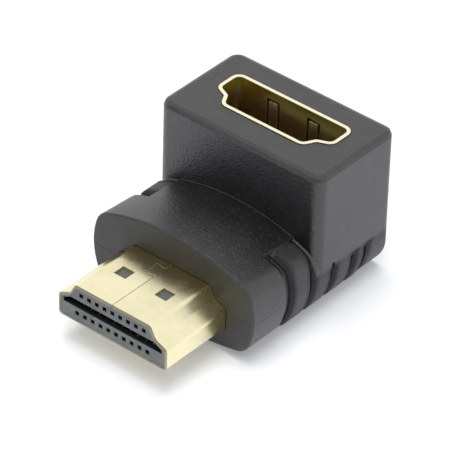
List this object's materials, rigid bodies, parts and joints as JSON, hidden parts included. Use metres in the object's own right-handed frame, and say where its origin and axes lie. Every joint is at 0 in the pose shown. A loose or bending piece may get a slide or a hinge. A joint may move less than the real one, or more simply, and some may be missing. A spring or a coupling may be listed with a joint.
{
  "type": "right angle connector adapter",
  "caption": "Right-angle adapter: a flat D-shaped metal-shelled plug at one end, a matching upward-facing receptacle at the other, in a moulded black housing with a ribbed grip.",
  "frame": {"origin": "centre of the plug's section, in the plane of the housing's front face that stops it", "axes": "-Y out along the plug, +Z out of the receptacle's mouth, X across both; the plug's wide side is down"},
  "size_m": [0.0208, 0.0303, 0.0173],
  "materials": {
    "housing_plastic": "black, fine moulded grain",
    "plug_gold": "pale gold plated",
    "receptacle_gold": "gold plated",
    "contact_gold": "gold plated",
    "insert_plastic": "dark grey, moulded",
    "board_laminate": "green solder mask",
    "inner_plastic": "pale, moulded"
  },
  "bodies": {
    "root": {"housing": "housing_plastic", "plug_shell": "plug_gold", "plug_insulator": "insert_plastic", "receptacle_shell": "receptacle_gold", "receptacle_insulator": "insert_plastic", "circuit_board": "board_laminate", "inner_mould": "inner_plastic", "plug_contact_01": "contact_gold", "plug_contact_02": "contact_gold", "plug_contact_03": "contact_gold", "plug_contact_04": "contact_gold", "plug_contact_05": "contact_gold", "plug_contact_06": "contact_gold", "plug_contact_07": "contact_gold", "plug_contact_08": "contact_gold", "plug_contact_09": "contact_gold", "plug_contact_10": "contact_gold", "plug_contact_11": "contact_gold", "plug_contact_12": "contact_gold", "plug_contact_13": "contact_gold", "plug_contact_14": "contact_gold", "plug_contact_15": "contact_gold", "plug_contact_16": "contact_gold", "plug_contact_17": "contact_gold", "plug_contact_18": "contact_gold", "plug_contact_19": "contact_gold", "receptacle_contact_01": "contact_gold", "receptacle_contact_02": "contact_gold", "receptacle_contact_03": "contact_gold", "receptacle_contact_04": "contact_gold", "receptacle_contact_05": "contact_gold", "receptacle_contact_06": "contact_gold", "receptacle_contact_07": "contact_gold", "receptacle_contact_08": "contact_gold", "receptacle_contact_09": "contact_gold", "receptacle_contact_10": "contact_gold", "receptacle_contact_11": "contact_gold", "receptacle_contact_12": "contact_gold", "receptacle_contact_13": "contact_gold", "receptacle_contact_14": "contact_gold", "receptacle_contact_15": "contact_gold", "receptacle_contact_16": "contact_gold", "receptacle_contact_17": "contact_gold", "receptacle_contact_18": "contact_gold", "receptacle_contact_19": "contact_gold"}
  },
  "joints": []
}
